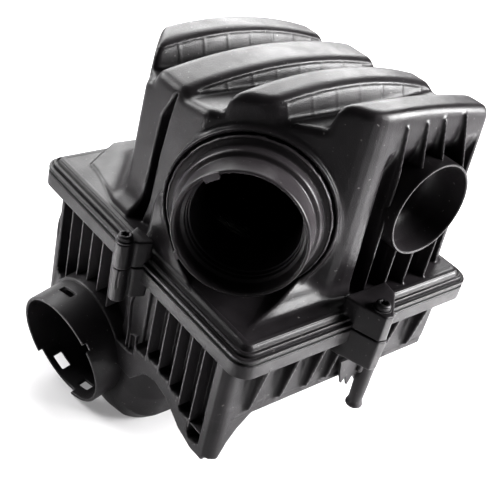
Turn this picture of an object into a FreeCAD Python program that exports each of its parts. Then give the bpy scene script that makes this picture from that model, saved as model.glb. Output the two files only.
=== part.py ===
import FreeCAD, Part

import math
import os
import re

import Sketcher

# Engine air filter housing, in millimetres.
# Housing coordinates: x and y run along the two sides of the clamping flange from its front
# corner, z = 0 is the parting plane between the lower case and the upper cover, +Z is up.
# Every node is then moved by the same shift, which puts the origin under the housing's middle.

doc = FreeCAD.newDocument("air_filter_housing")

SIZES = {
    # flange shared by the case and the cover
    "flange_x": 217, "flange_y": 250, "flange_corner": 13, "wall": 2.6,
    "cover_under": 0.6, "case_top": -1, "rim_low": -12.5,
    # stepped edge of the cover
    "step_one_top": 3.4, "step_two_top": 6.2, "plateau_top": 9.1,
    "step_two_inset": 3.2, "plateau_inset": 7.6, "step_two_corner": 10, "plateau_corner": 6,
    "under_inset": 17,
    # dome of the cover
    "dome_left": 24, "dome_right": 205, "dome_front": 22, "dome_back": 216,
    "port_corner_x": 92, "port_corner_y": 107, "cut_corner_x": 62, "cut_corner_y": 174,
    "dome_height": 146, "valley_front": 137, "valley_fall": 41, "dome_edge": 8,
    "shoulder_height": 46,
    # outlet on the slanting face
    "outlet_x": 47, "outlet_y": 72, "outlet_z": 58.3, "outlet_turn": 40, "outlet_tilt": 3,
    "outlet_outer": 44.4, "outlet_bore": 37.5, "outlet_reach": 33, "collar_outer": 54.3,
    "collar_thick": 4.6, "face_rim_outer": 58, "face_rim_inner": 55.6, "face_rim_high": 2,
    "face_hole": 48, "outlet_root": -8,
    # round duct on the front wall
    "duct_x": 151, "duct_z": 73.3, "duct_outer": 35, "duct_bore": 32.8,
    "duct_mouth": 11.5, "duct_depth": 32,
    # lower case
    "case_left": 9, "case_right": 208, "case_front": 12, "case_back": 241, "case_floor": -58,
    "panel_face": 2, "pocket_pitch": 14, "pocket_width": 12.2, "pocket_low": -68,
    "pocket_start": 17.9, "pocket_top": -16,
    "well_front": 108, "well_floor": -154.2, "well_round": 30, "well_right": 196,
    "seat_inset": 5, "seat_low": -6.3, "leg_low": -95,
    # inlet
    "inlet_x": -21, "inlet_y": 164.5, "inlet_z": -110, "inlet_turn": 6.7, "inlet_tilt": 11.6,
    "inlet_outer": 45, "inlet_bore": 42.4, "inlet_length": 33,
    # screws and their towers
    "tower_top": 20, "tower_low": -26, "screw_r": 3, "head_r": 6.4, "head_high": 5,
    "sleeve_r": 4.6, "insert_r": 4.3, "insert_low": -15, "screw_low": -13.5,
    # locating peg
    "peg_x": 133, "peg_y": 5, "peg_r": 5, "peg_low": -90, "peg_top": -60, "buffer_r": 6.2,
    "buffer_high": 7,
    # filter element
    "seal_inset": 5.5, "seal_width": 11, "seal_low": -6, "seal_high": 0.2,
    "media_inset": 17, "media_low": -46, "media_high": -2.4, "screen_thick": 1,
    "pleats": 18, "pleat_rise": 6,
    # shift of the housing coordinates into the row's frame
    "shift_x": -102.3, "shift_y": -124.5, "shift_z": 154.2,
}

sheet = doc.addObject("Spreadsheet::Sheet", "Sizes")
for row, (alias, size) in enumerate(SIZES.items(), start=1):
    sheet.set(f"A{row}", alias)
    sheet.set(f"B{row}", str(size))
    sheet.setAlias(f"B{row}", alias)
doc.recompute()


def linked(text):
    """Turn the alias names in a text into references to the sheet."""
    return re.sub(r"[a-z_]+", lambda m: f"Sizes.{m.group()}" if m.group() in SIZES else m.group(),
                  str(text))


def bind(thing, prop, text):
    thing.setExpression(prop, linked(text))


def bind_base(thing, place):
    for axis, text in zip("xyz", place):
        bind(thing, f"Placement.Base.{axis}", text)


def box(name, low, size):
    block = doc.addObject("Part::Box", name)
    for prop, text in zip(("Length", "Width", "Height"), size):
        bind(block, prop, text)
    bind_base(block, low)
    return block


def cylinder(name, base, radius, height, direction=(0, 0, 1)):
    """A cylinder that starts at base and runs along a direction."""
    rod = doc.addObject("Part::Cylinder", name)
    bind(rod, "Radius", radius)
    bind(rod, "Height", height)
    rod.Placement.Rotation = FreeCAD.Rotation(FreeCAD.Vector(0, 0, 1), FreeCAD.Vector(*direction))
    bind_base(rod, base)
    return rod


def origin_plane(body, role):
    return next(item for item in body.Origin.OriginFeatures if item.Role == role)


def outline(body, role, points, offset):
    """A closed outline whose corners are all placed from the sheet."""
    sketch = body.newObject("Sketcher::SketchObject", f"{body.Name}_outline")
    sketch.AttachmentSupport = [(origin_plane(body, role), "")]
    sketch.MapMode = "FlatFace"
    bind(sketch, "AttachmentOffset.Base.z", offset)
    count = len(points)
    start = [FreeCAD.Vector(50 + 40 * math.cos(2 * math.pi * i / count),
                            50 + 40 * math.sin(2 * math.pi * i / count), 0) for i in range(count)]
    for i in range(count):
        sketch.addGeometry(Part.LineSegment(start[i], start[(i + 1) % count]), False)
    for i in range(count):
        sketch.addConstraint(Sketcher.Constraint("Coincident", i, 2, (i + 1) % count, 1))
    for i, corner in enumerate(points):
        for kind, text in zip(("DistanceX", "DistanceY"), corner):
            number = sketch.addConstraint(Sketcher.Constraint(kind, -1, 1, i, 1, 10.0 + i))
            sketch.renameConstraint(number, f"{kind}{i}")
            sketch.setExpression(f"Constraints.{kind}{i}", linked(text))
    return sketch


PLANES = {"z": "XY_Plane", "x": "YZ_Plane", "y": "XZ_Plane"}


def prism(name, axis, points, low, length, rounding=None):
    """A straight prism along x, y or z, with its lengthways edges rounded if asked."""
    body = doc.addObject("PartDesign::Body", name)
    offset = f"-({low})" if axis == "y" else low
    sketch = outline(body, PLANES[axis], points, offset)
    pad = body.newObject("PartDesign::Pad", f"{name}_pad")
    pad.Profile = sketch
    bind(pad, "Length", length)
    pad.Reversed = axis == "y"
    doc.recompute()
    if rounding:
        along = FreeCAD.Vector(axis == "x", axis == "y", axis == "z")
        edges = []
        for i, edge in enumerate(pad.Shape.Edges, start=1):
            start, end = edge.Vertexes[0].Point, edge.Vertexes[-1].Point
            if abs((end - start).dot(along)) > 0.99 * edge.Length:
                edges.append(f"Edge{i}")
        fillet = body.newObject("PartDesign::Fillet", f"{name}_rounding")
        fillet.Base = (pad, edges)
        bind(fillet, "Radius", rounding)
    return body


def plate(name, inset, low, high, rounding):
    """A plate with the flange's outline, drawn in by an inset."""
    corners = [(f"{inset}", f"{inset}"), (f"flange_x - {inset}", f"{inset}"),
               (f"flange_x - {inset}", f"flange_y - {inset}"), (f"{inset}", f"flange_y - {inset}")]
    return prism(name, "z", corners, low, f"{high} - ({low})", rounding)


def fuse(name, shapes):
    union = doc.addObject("Part::MultiFuse", name)
    union.Shapes = shapes
    return union


def cut(name, base, tools):
    result = doc.addObject("Part::Cut", name)
    result.Base = base
    result.Tool = tools[0] if len(tools) == 1 else fuse(f"{name}_tools", tools)
    return result


def common(name, shapes):
    overlap = doc.addObject("Part::MultiCommon", name)
    overlap.Shapes = shapes
    return overlap


def above_plateau(name, shape):
    """The part of a shape that stands clear above the cover's plateau."""
    room = box(f"{name}_room", ("-60", "-60", "plateau_top + 0.1"), ("240", "240", "140"))
    return common(name, [shape, room])


NODES = []


def node(thing, label):
    """Make a finished piece a node of its own, in the row's frame."""
    thing.Label = label
    bind_base(thing, ("shift_x", "shift_y", "shift_z"))
    NODES.append(thing)


def slanted(turn, tilt):
    """The direction that turns from -x towards -y and rises by tilt, in degrees."""
    turn, tilt = math.radians(SIZES[turn]), math.radians(tilt)
    return (-math.cos(turn) * math.cos(tilt), -math.sin(turn) * math.cos(tilt), math.sin(tilt))


def along(centre, direction, distance):
    """Texts for the point at a distance from a centre along a direction."""
    return [f"{c} + ({distance}) * ({d:.6f})" for c, d in zip(centre, direction)]


OUTLET = ("outlet_x", "outlet_y", "outlet_z")
OUTLET_AXIS = slanted("outlet_turn", SIZES["outlet_tilt"])
INLET = ("inlet_x", "inlet_y", "inlet_z")
INLET_AXIS = slanted("inlet_turn", -SIZES["inlet_tilt"])

# Where the four screws stand, and the outward side of each tower.
SCREWS = {
    "left": (-12, 119), "front": (105, -9.5), "right": (229, 131), "rear": (112, 259.5),
}
TOWERS = {
    "left": [(10, 107), (-12, 112), (-18.6, 117), (-18.6, 121), (-12, 126), (10, 131)],
    "front": [(130, 10), (128, -1), (107, -20), (100.8, -19), (93.7, 0), (90, 10)],
    "right": [(207, 146), (218, 144), (236, 134), (236, 127), (218, 116), (207, 114)],
    "rear": [(86, 240), (89, 251), (109, 269), (116, 269), (124, 251), (127, 240)],
}


# ---------------------------------------------------------------- upper cover
def dome(name, inset):
    """The dome's outer form, or its hollow when drawn in by an inset."""
    plan = prism(f"{name}_plan", "z", [
        (f"port_corner_x + 0.48 * {inset}", f"dome_front + {inset}"),
        (f"dome_right - {inset}", f"dome_front + {inset}"),
        (f"dome_right - {inset}", f"dome_back - {inset}"),
        (f"cut_corner_x + 0.45 * {inset}", f"dome_back - {inset}"),
        (f"dome_left + {inset}", f"cut_corner_y - 0.38 * {inset}"),
        (f"dome_left + {inset}", f"port_corner_y + 0.35 * {inset}"),
    ], "6", f"dome_height - {inset}", "dome_edge")
    # The valley floor falls from front to back, and four ridges stand on it.
    valley = prism(f"{name}_valley", "x", [
        ("0", "0"), ("0", f"valley_front - {inset}"),
        ("flange_y", f"valley_front - valley_fall - {inset}"), ("flange_y", "0")],
        "0", "flange_x")
    parts = [valley]
    ridges = [  # low y, high y, front x, front height, middle height, rear height
        (22, 49, 80, 144, 145, 136),
        (75, 100, 24, 131, 140, 128),
        (132, 166, 24, 118, 127.5, 120),
        (187, 216, 24, 118, 126, 113),
    ]
    for i, (near, far, nose, front, middle, rear) in enumerate(ridges):
        ridge = prism(f"{name}_ridge{i}", "y", [
            (f"{nose} + {inset}", "60"), (f"{nose} + {inset}", f"{front} - 5 - {inset}"),
            (f"{nose + 8} + {inset}", f"{front} - {inset}"), ("125", f"{middle} - {inset}"),
            (f"197 - {inset}", f"{rear} - {inset}"), (f"205 - {inset}", f"{rear} - 8 - {inset}"),
            (f"205 - {inset}", "60")],
            f"{near} + {inset}", f"{far - near} - 2 * {inset}")
        parts.append(ridge)
    return common(name, [plan, fuse(f"{name}_heap", parts)])


def shoulder(name, inset):
    """The flare that carries the slanting face down to the flange's front corner."""
    body = doc.addObject("PartDesign::Body", name)
    foot = outline(body, "XY_Plane", [
        ("100", f"20 + {inset}"), (f"36 + {inset}", f"24 + {inset}"),
        (f"24 + {inset}", f"38 + {inset}"), (f"24 + {inset}", "112"), ("100", "112")], "6")
    head = outline(body, "XY_Plane", [
        ("100", f"22 + {inset}"), (f"90 + {inset}", f"25 + {inset}"),
        (f"27 + {inset}", f"104 + {inset}"), (f"26 + {inset}", "112"), ("100", "112")],
        f"shoulder_height - {inset}")
    loft = body.newObject("PartDesign::AdditiveLoft", f"{name}_loft")
    loft.Profile = foot
    loft.Sections = [head]
    loft.Ruled = True
    return body


def tower(name, side, low, high):
    points = [(f"{x}", f"{y}") for x, y in TOWERS[side]]
    return prism(name, "z", points, low, f"({high}) - ({low})")


outer_form = fuse("outer_form", [dome("dome_outer", "0"), shoulder("shoulder_outer", "0")])
cover_solid = fuse("cover_solid", [
    plate("edge_low", "0", "cover_under", "step_one_top", "flange_corner"),
    plate("edge_mid", "step_two_inset", "step_one_top - 0.2", "step_two_top", "step_two_corner"),
    plate("edge_top", "plateau_inset", "step_two_top - 0.2", "plateau_top", "plateau_corner"),
    outer_form,
    above_plateau("face_rim", cylinder("face_rim_disc", along(OUTLET, OUTLET_AXIS, "-14"),
                                       "face_rim_outer", "14 + face_rim_high", OUTLET_AXIS)),
] + [tower(f"cover_tower_{side}", side, "cover_under", "tower_top") for side in TOWERS])
cover_hollow = [
    plate("under_hollow", "under_inset", "0", "plateau_top - wall", "4"),
    dome("dome_inner", "wall"),
    shoulder("shoulder_inner", "wall"),
    cylinder("duct_hole", ("duct_x", "duct_mouth - 2", "duct_z"), "duct_outer", "duct_depth",
             (0, 1, 0)),
] + [cylinder(f"cover_bore_{side}", (x, y, "-1"), "sleeve_r", "tower_top + 3")
     for side, (x, y) in SCREWS.items()]
# The outlet's seat: a ring behind the face, with a wall round it where the shoulder stands.
seat_blank = common("seat_blank", [
    outer_form, cylinder("seat_disc", along(OUTLET, OUTLET_AXIS, "-4 - wall"),
                         "face_rim_outer + 1", "60", OUTLET_AXIS)])
seat_room = [
    above_plateau("face_recess", cylinder("face_recess_disc", along(OUTLET, OUTLET_AXIS, "-4"),
                                          "face_rim_inner", "60", OUTLET_AXIS)),
    above_plateau("face_hole", cylinder("face_hole_disc", along(OUTLET, OUTLET_AXIS, "-30"),
                                        "face_hole", "40", OUTLET_AXIS)),
]
node(cut("cover_shell",
         fuse("cover_body", [cut("cover_hollowed", cover_solid, cover_hollow), seat_blank]),
         seat_room), "upper_cover")

# Stiffening ribs on the front wall, thin upright plates cut round the duct.
rib_plates = []
for i, (x, out) in enumerate([(119, 18.3), (136, 15), (153, 12.5), (174, 11.7)]):
    rib_plates.append(prism(f"cover_rib{i}", "x", [
        (f"{out}", "plateau_top"), ("dome_front", "plateau_top"), ("dome_front", "132"),
        (f"{out + 2}", "100")], f"{x - 1}", "2"))
rib_gap = cylinder("rib_gap", ("duct_x", "0", "duct_z"), "duct_outer + 0.3", "30", (0, 1, 0))
node(cut("rib_set", fuse("rib_plates", rib_plates), [rib_gap]), "cover_ribs")

# Outlet: a flanged tube set in the slanting face, with a rubber ring round its flange.
node(cut("outlet_shape", fuse("outlet_solid", [
    cylinder("outlet_barrel", along(OUTLET, OUTLET_AXIS, "outlet_root"), "outlet_outer",
             "outlet_reach - outlet_root", OUTLET_AXIS),
    above_plateau("outlet_collar",
                  cylinder("outlet_collar_disc", along(OUTLET, OUTLET_AXIS, "-3.8"), "collar_outer",
                           "3.8 + collar_thick", OUTLET_AXIS)),
]), [cylinder("outlet_bore", along(OUTLET, OUTLET_AXIS, "outlet_root - 2"), "outlet_bore",
              "outlet_reach - outlet_root + 4", OUTLET_AXIS)]), "outlet_tube")
node(cut("seal_ring_shape",
         above_plateau("seal_ring_outer",
                       cylinder("seal_ring_disc", along(OUTLET, OUTLET_AXIS, "-3.8"),
                                "face_rim_inner - 0.1", "3.6", OUTLET_AXIS)),
         [cylinder("seal_ring_inner", along(OUTLET, OUTLET_AXIS, "-5"), "collar_outer + 0.1",
                   "6", OUTLET_AXIS)]), "outlet_seal")

node(cut("duct_shape",
         cylinder("duct_barrel", ("duct_x", "duct_mouth", "duct_z"), "duct_outer", "duct_depth",
                  (0, 1, 0)),
         [cylinder("duct_bore", ("duct_x", "duct_mouth - 1", "duct_z"), "duct_bore",
                   "duct_depth + 2", (0, 1, 0))]), "side_duct")

# Steel sleeves that keep the screws from crushing the cover's towers.
sleeves = [cylinder(f"sleeve_{side}", (x, y, "cover_under + 0.2"), "sleeve_r",
                    "tower_top - cover_under - 0.2") for side, (x, y) in SCREWS.items()]
sleeve_bores = [cylinder(f"sleeve_bore_{side}", (x, y, "0"), "screw_r + 0.3", "tower_top + 2")
                for side, (x, y) in SCREWS.items()]
node(cut("sleeve_set", fuse("sleeve_blanks", sleeves), sleeve_bores), "screw_sleeves")

# ---------------------------------------------------------------- screws
for side, (x, y) in SCREWS.items():
    screw = fuse(f"screw_blank_{side}", [
        cylinder(f"shank_{side}", (x, y, "screw_low"), "screw_r", "tower_top + 1 - screw_low"),
        cylinder(f"washer_{side}", (x, y, "tower_top + 0.3"), "head_r", "1.4"),
        cylinder(f"head_{side}", (x, y, "tower_top + 0.3"), "head_r - 1.1", "head_high"),
    ])
    socket = cylinder(f"socket_{side}", (x, y, "tower_top + 2.6"), "2.6", "head_high")
    node(cut(f"screw_shape_{side}", screw, [socket]), f"screw_{side}")


# ---------------------------------------------------------------- lower case
def well(name, inset):
    """The deep rear part of the case, which the inlet opens into."""
    return prism(name, "x", [
        (f"well_front + {inset}", f"case_floor + 4 + {inset}"),
        (f"well_front + {inset}", f"well_floor + well_round"),
        (f"well_front + 9 + 0.5 * {inset}", f"well_floor + 9 + 0.5 * {inset}"),
        (f"well_front + well_round", f"well_floor + {inset}"),
        (f"case_back - 14", f"well_floor + {inset}"),
        (f"case_back - {inset}", f"well_floor + 14"),
        (f"case_back - {inset}", f"case_floor + 4 + {inset}")],
        f"case_left - 4 + {inset}", f"well_right - case_left + 4 - 2 * {inset}")


panel_foot = [  # y, z: the lower edge of the left panel, with the arch between leg and well
    (12, -95), (30, -96), (46, -91), (65, -79), (79, -76), (96, -83), (108, -97)]
left_panel = prism("left_panel", "x",
                   [("12", "rim_low + 2")] + [(f"{y}", f"{z}") for y, z in panel_foot] +
                   [("case_back - 6", "-97"), ("case_back - 6", "rim_low + 2")],
                   "panel_face", "case_left + wall - panel_face")
pockets = []
for i in range(15):
    if i in (6, 7):  # one wide pocket takes the place of these two, under the left screw
        continue
    pockets.append(box(f"pocket{i}", ("panel_face - 1", f"pocket_start + {i} * pocket_pitch", "pocket_low"),
                       ("case_left - panel_face + 1", "pocket_width", "pocket_top - pocket_low")))
pockets.append(box("wide_pocket", ("panel_face - 1", "pocket_start + 6 * pocket_pitch", "-62"),
                   ("case_left - panel_face + 1", "2 * pocket_pitch - 2", "pocket_top + 62")))

leg = prism("leg", "y", [
    ("panel_face", "case_floor + 6"), ("panel_face", "leg_low"), ("11", "leg_low"),
    ("22", "-72"), ("32", "-61"), ("46", "case_floor + 6")], "8", "26")
leg_hollow = prism("leg_hollow", "y", [
    ("panel_face + wall", "case_floor - 3"), ("panel_face + wall", "leg_low + wall"),
    ("10", "leg_low + wall"), ("20", "-72"), ("30", "case_floor - 3")], "8 + wall", "30")

case_solid = fuse("case_solid", [
    plate("rim_band", "0", "rim_low", "case_top", "flange_corner"),
    box("case_walls", ("case_left", "case_front", "case_floor"),
        ("case_right - case_left", "case_back - case_front", "-2 - case_floor")),
    left_panel, leg, well("well_outer", "0"),
    box("peg_bracket", ("peg_x - 9", "peg_y - 7", "peg_top - 1"), ("18", "14", "12")),
    cylinder("inlet_root", along(INLET, INLET_AXIS, "-35"), "inlet_outer + 4", "9", INLET_AXIS),
] + [tower(f"case_tower_{side}", side, "tower_low", "case_top") for side in TOWERS])
case_hollow = [
    plate("seal_seat", "seat_inset", "seat_low", "5", "8"),
    box("case_cavity", ("case_left + wall", "case_front + wall", "case_floor + wall"),
        ("case_right - case_left - 2 * wall", "case_back - case_front - 2 * wall", "70")),
    well("well_inner", "wall"), leg_hollow,
    cylinder("inlet_hole", along(INLET, INLET_AXIS, "-60"), "inlet_outer", "50", INLET_AXIS),
    cut("gasket_groove", plate("groove_outer", "1.4", "-2.6", "2", "11.6"),
        [plate("groove_inner", "3.8", "-3", "3", "9.2")]),
] + pockets
case_hollow += [cylinder(f"case_bore_{side}", (x, y, "insert_low - 2"), "insert_r", "30")
                for side, (x, y) in SCREWS.items()]
node(cut("case_shell", case_solid, case_hollow), "lower_case")


def gussets(label, places, outward, wall_at):
    """Triangular ribs under the rim, deep at the top and dying out at the bottom."""
    axis, sign = outward
    plates = []
    for i, at in enumerate(places):
        tip = f"{wall_at} + {sign} * 8.5"
        profile = [(wall_at, "rim_low"), (tip, "rim_low"),
                   (f"{wall_at} + {sign} * 2.5", "case_floor + 8"), (wall_at, "case_floor + 8")]
        plates.append(prism(f"{label}_{i}", axis, profile, f"{at - 1}", "2"))
    node(fuse(f"{label}_set", plates), label)


gussets("front_gussets", [25, 52, 76, 148, 178], ("x", -1), "case_front")
gussets("rear_gussets", [25, 50, 75, 140, 165, 190], ("x", 1), "case_back")
gussets("right_gussets", [28, 52, 76, 100, 162, 186, 210], ("y", 1), "case_right")

# Inlet: a thin round spout with slots near its mouth for the hose's clips.
inlet_slots = []
for i, turn in enumerate([20, 75, 140, 200, 255, 320]):
    slot = doc.addObject("Part::Box", f"inlet_slot{i}")
    bind(slot, "Length", "10")
    bind(slot, "Width", "15")
    bind(slot, "Height", "6")
    spin = FreeCAD.Rotation(FreeCAD.Vector(0, 0, 1), FreeCAD.Vector(*INLET_AXIS))
    local = FreeCAD.Placement(FreeCAD.Vector(0, 0, 0), FreeCAD.Rotation(FreeCAD.Vector(0, 0, 1), turn))
    local = local.multiply(FreeCAD.Placement(FreeCAD.Vector(38, -7.5, -15), FreeCAD.Rotation()))
    middle = FreeCAD.Vector(SIZES["inlet_x"], SIZES["inlet_y"], SIZES["inlet_z"])
    slot.Placement = FreeCAD.Placement(middle, spin).multiply(local)
    inlet_slots.append(slot)
node(cut("inlet_shape",
         cylinder("inlet_barrel", along(INLET, INLET_AXIS, "-inlet_length"), "inlet_outer",
                  "inlet_length", INLET_AXIS),
         [cylinder("inlet_bore", along(INLET, INLET_AXIS, "-inlet_length - 2"), "inlet_bore",
                   "inlet_length + 4", INLET_AXIS)] + inlet_slots), "inlet_tube")

# Foam cord in the rim's groove.
node(cut("gasket_shape", plate("gasket_outer", "1.6", "-2.6", "0.2", "11.4"),
         [plate("gasket_inner", "3.6", "-3", "3", "9.4")]), "rim_gasket")

# Brass inserts that take the screws.
inserts = [cylinder(f"insert_{side}", (x, y, "insert_low"), "insert_r", "case_top - 0.2 - insert_low")
           for side, (x, y) in SCREWS.items()]
insert_bores = [cylinder(f"insert_bore_{side}", (x, y, "insert_low - 1"), "screw_r + 0.06", "30")
                for side, (x, y) in SCREWS.items()]
node(cut("insert_set", fuse("insert_blanks", inserts), insert_bores), "threaded_inserts")

# Peg that drops into a socket of the car's body, with a rubber foot.
node(fuse("peg_shape", [
    cylinder("peg_rod", ("peg_x", "peg_y", "peg_low + 2"), "peg_r", "peg_top - 1 - peg_low - 2"),
    cylinder("peg_collar", ("peg_x", "peg_y", "peg_top - 3.5"), "peg_r + 1.5", "2.5")]),
    "locating_peg")
node(cut("buffer_shape",
         cylinder("buffer_outer", ("peg_x", "peg_y", "peg_low"), "buffer_r", "buffer_high"),
         [cylinder("buffer_bore", ("peg_x", "peg_y", "peg_low + 2"), "peg_r", "buffer_high")]),
     "peg_buffer")
node(prism("tab_shape", "x", [
    ("2", "-50"), ("case_front", "-50"), ("case_front", "-58"), ("8", "-66"), ("6", "-60"),
    ("3", "-66")], "108", "3"), "support_tab")

# ---------------------------------------------------------------- filter element
node(cut("filter_seal_shape",
         plate("filter_seal_outer", "seal_inset", "seal_low", "seal_high", "7.5"),
         [plate("filter_seal_inner", "seal_inset + seal_width", "seal_low - 1", "seal_high + 1",
                "3")]), "filter_seal")
# Pleated paper: the folds run along x, and the outline steps down and up along y.
folds = 2 * SIZES["pleats"]
fold_y = [f"media_inset - 0.5 + (flange_y - 2 * media_inset + 1) * {i / folds:.6f}"
          for i in range(folds + 1)]
upper_folds = [(y, "media_high" if i % 2 == 0 else "media_low + pleat_rise")
               for i, y in enumerate(fold_y)]
lower_folds = [(y, "media_high - pleat_rise" if i % 2 == 0 else "media_low")
               for i, y in enumerate(fold_y)]
node(prism("pleated_media", "x", upper_folds + lower_folds[::-1], "media_inset - 0.5",
           "flange_x - 2 * media_inset + 1"), "filter_media")
node(plate("filter_mesh", "media_inset", "media_high", "media_high + screen_thick", "2"),
     "filter_screen")

# ---------------------------------------------------------------- check and write
doc.recompute()
for thing in doc.Objects:
    bad = [word for word in ("Invalid", "Error") if word in thing.State]
    if bad:
        raise RuntimeError(f"{thing.Name} is {bad}")
for thing in NODES:
    if thing.Shape.isNull() or not thing.Shape.isValid():
        raise RuntimeError(f"{thing.Label} has no valid shape")
os.makedirs("parts", exist_ok=True)
whole = FreeCAD.BoundBox()
for thing in NODES:
    thing.Shape.exportStep(f"parts/{thing.Label}.step")
    whole.add(thing.Shape.BoundBox)
    print(f"{thing.Label:18s} solids {len(thing.Shape.Solids)} volume {thing.Shape.Volume:.0f}")
print("low", whole.XMin, whole.YMin, whole.ZMin, "high", whole.XMax, whole.YMax, whole.ZMax)
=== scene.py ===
import math

import bpy
import numpy as np
from mathutils import Matrix, Vector


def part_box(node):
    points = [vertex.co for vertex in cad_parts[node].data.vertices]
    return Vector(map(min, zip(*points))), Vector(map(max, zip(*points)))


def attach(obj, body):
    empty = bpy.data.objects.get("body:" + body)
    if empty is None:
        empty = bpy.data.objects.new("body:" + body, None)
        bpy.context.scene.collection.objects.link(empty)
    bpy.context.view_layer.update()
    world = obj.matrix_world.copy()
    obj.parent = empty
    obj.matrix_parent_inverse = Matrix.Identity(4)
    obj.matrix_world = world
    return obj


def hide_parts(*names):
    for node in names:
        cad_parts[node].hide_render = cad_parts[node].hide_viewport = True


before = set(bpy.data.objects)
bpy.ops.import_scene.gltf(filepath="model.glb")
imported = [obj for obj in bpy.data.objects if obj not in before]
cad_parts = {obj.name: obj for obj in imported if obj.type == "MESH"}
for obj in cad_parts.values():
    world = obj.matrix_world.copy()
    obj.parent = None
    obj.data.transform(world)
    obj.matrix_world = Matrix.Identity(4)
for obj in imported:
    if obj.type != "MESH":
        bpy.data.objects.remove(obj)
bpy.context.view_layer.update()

# Housing coordinates, in millimetres: x and y run along the flange's two sides from its front
# corner, z = 0 is the parting plane. The gasket's box says where that corner is in the row frame.
MM = 0.001
GASKET_LOW = Vector((1.6, 1.6, -2.6))
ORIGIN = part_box("rim_gasket")[0] - GASKET_LOW * MM

FLANGE_X, FLANGE_Y = 217.0, 250.0
FLANGE_CORNER = 13  # the radius of its corners
WALL = 2.6
WELL_FLOOR = -154.2
GRID = 1.0

# The middle of each opening, on its rim or, for the outlet, on the slanting face.
OUTLET = np.array((47.0, 72.0, 58.3))
INLET = np.array((-21.0, 164.5, -110.0))
DUCT = np.array((151.0, 11.5, 73.3))
UP = (0, 0, 1)


def slanted(turn, tilt):
    """The unit direction that turns from -x towards -y and rises by tilt, in degrees."""
    turn, tilt = math.radians(turn), math.radians(tilt)
    return np.array((-math.cos(turn) * math.cos(tilt), -math.sin(turn) * math.cos(tilt),
                     math.sin(tilt)))


OUTLET_AXIS = slanted(40, 3)
INLET_AXIS = slanted(6.7, -11.6)
DUCT_AXIS = (0, 1, 0)
SCREWS = {"left": (-12, 119), "front": (105, -9.5), "right": (229, 131), "rear": (112, 259.5)}


# ------------------------------------------------------------------ distances
def soft_min(a, b, soft):
    """The smaller of two distances, with the crease between them filled over a width."""
    if not soft:
        return np.minimum(a, b)
    near = np.maximum(soft - np.abs(a - b), 0) / soft
    return np.minimum(a, b) - near * near * soft * 0.25


def soft_max(a, b, soft):
    """The larger of two distances, with the ridge between them rounded over a width."""
    return -soft_min(-a, -b, soft)


def polygon(points, u, v):
    """Signed distance from a closed outline, below zero inside it."""
    nearest, inside = None, False
    for (ax, ay), (bx, by) in zip(points, points[1:] + points[:1]):
        ex, ey, wu, wv = bx - ax, by - ay, u - ax, v - ay
        t = np.clip((wu * ex + wv * ey) / (ex * ex + ey * ey), 0, 1)
        gap = (wu - ex * t) ** 2 + (wv - ey * t) ** 2
        nearest = gap if nearest is None else np.minimum(nearest, gap)
        up, down, left = v >= ay, v < by, ex * wv > ey * wu
        inside = inside ^ ((up & down & left) | (~up & ~down & ~left))
    return np.where(inside, -1, 1) * np.sqrt(nearest)


def drawn_in(points, inset):
    """A closed outline, listed anticlockwise, moved inwards by an inset."""
    result = []
    for i, here in enumerate(points):
        before, after = points[i - 1], points[(i + 1) % len(points)]
        normals = []
        for (ax, ay), (bx, by) in ((before, here), (here, after)):
            length = math.hypot(bx - ax, by - ay)
            normals.append(((ay - by) / length, (bx - ax) / length))
        (nx, ny), (mx, my) = normals
        scale = inset / (1 + nx * mx + ny * my)
        result.append((here[0] + (nx + mx) * scale, here[1] + (ny + my) * scale))
    return result


def capped(flat, along, low, high, edge):
    """A flat distance made into a solid between two levels, with its rims rounded."""
    side = flat + edge
    ends = np.maximum(low - along, along - high) + edge
    return (np.minimum(np.maximum(side, ends), 0)
            + np.sqrt(np.maximum(side, 0) ** 2 + np.maximum(ends, 0) ** 2) - edge)


def prism(axis, points, low, high, corner=0.0, edge=0.0, draft=0.0):
    """A prism along an axis. Its corners and rims can be rounded and its sides leant in."""
    inner = drawn_in(points, corner) if corner else points

    def shape(x, y, z):
        u, v, w = {"x": (y, z, x), "y": (x, z, y), "z": (x, y, z)}[axis]
        flat = polygon(inner, u, v) - corner
        return capped(flat + draft * (w - low), w, low, high, edge)
    return shape


def block(low, high, edge=0.0):
    """A box between two corners."""
    def shape(x, y, z):
        q = [np.maximum(a - c, c - b) + edge for a, b, c in zip(low, high, (x, y, z))]
        outside = sum(np.maximum(side, 0) ** 2 for side in q)
        return np.minimum(np.maximum(np.maximum(q[0], q[1]), q[2]), 0) + np.sqrt(outside) - edge
    return shape


def rod(centre, axis, radius, low, high, edge=0.0):
    """A cylinder round an axis, between two distances along it."""
    def shape(x, y, z):
        dx, dy, dz = x - centre[0], y - centre[1], z - centre[2]
        t = dx * axis[0] + dy * axis[1] + dz * axis[2]
        r = np.sqrt(np.maximum(dx * dx + dy * dy + dz * dz - t * t, 0))
        return capped(r - radius, t, low, high, edge)
    return shape


FAR = 1e3


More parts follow.
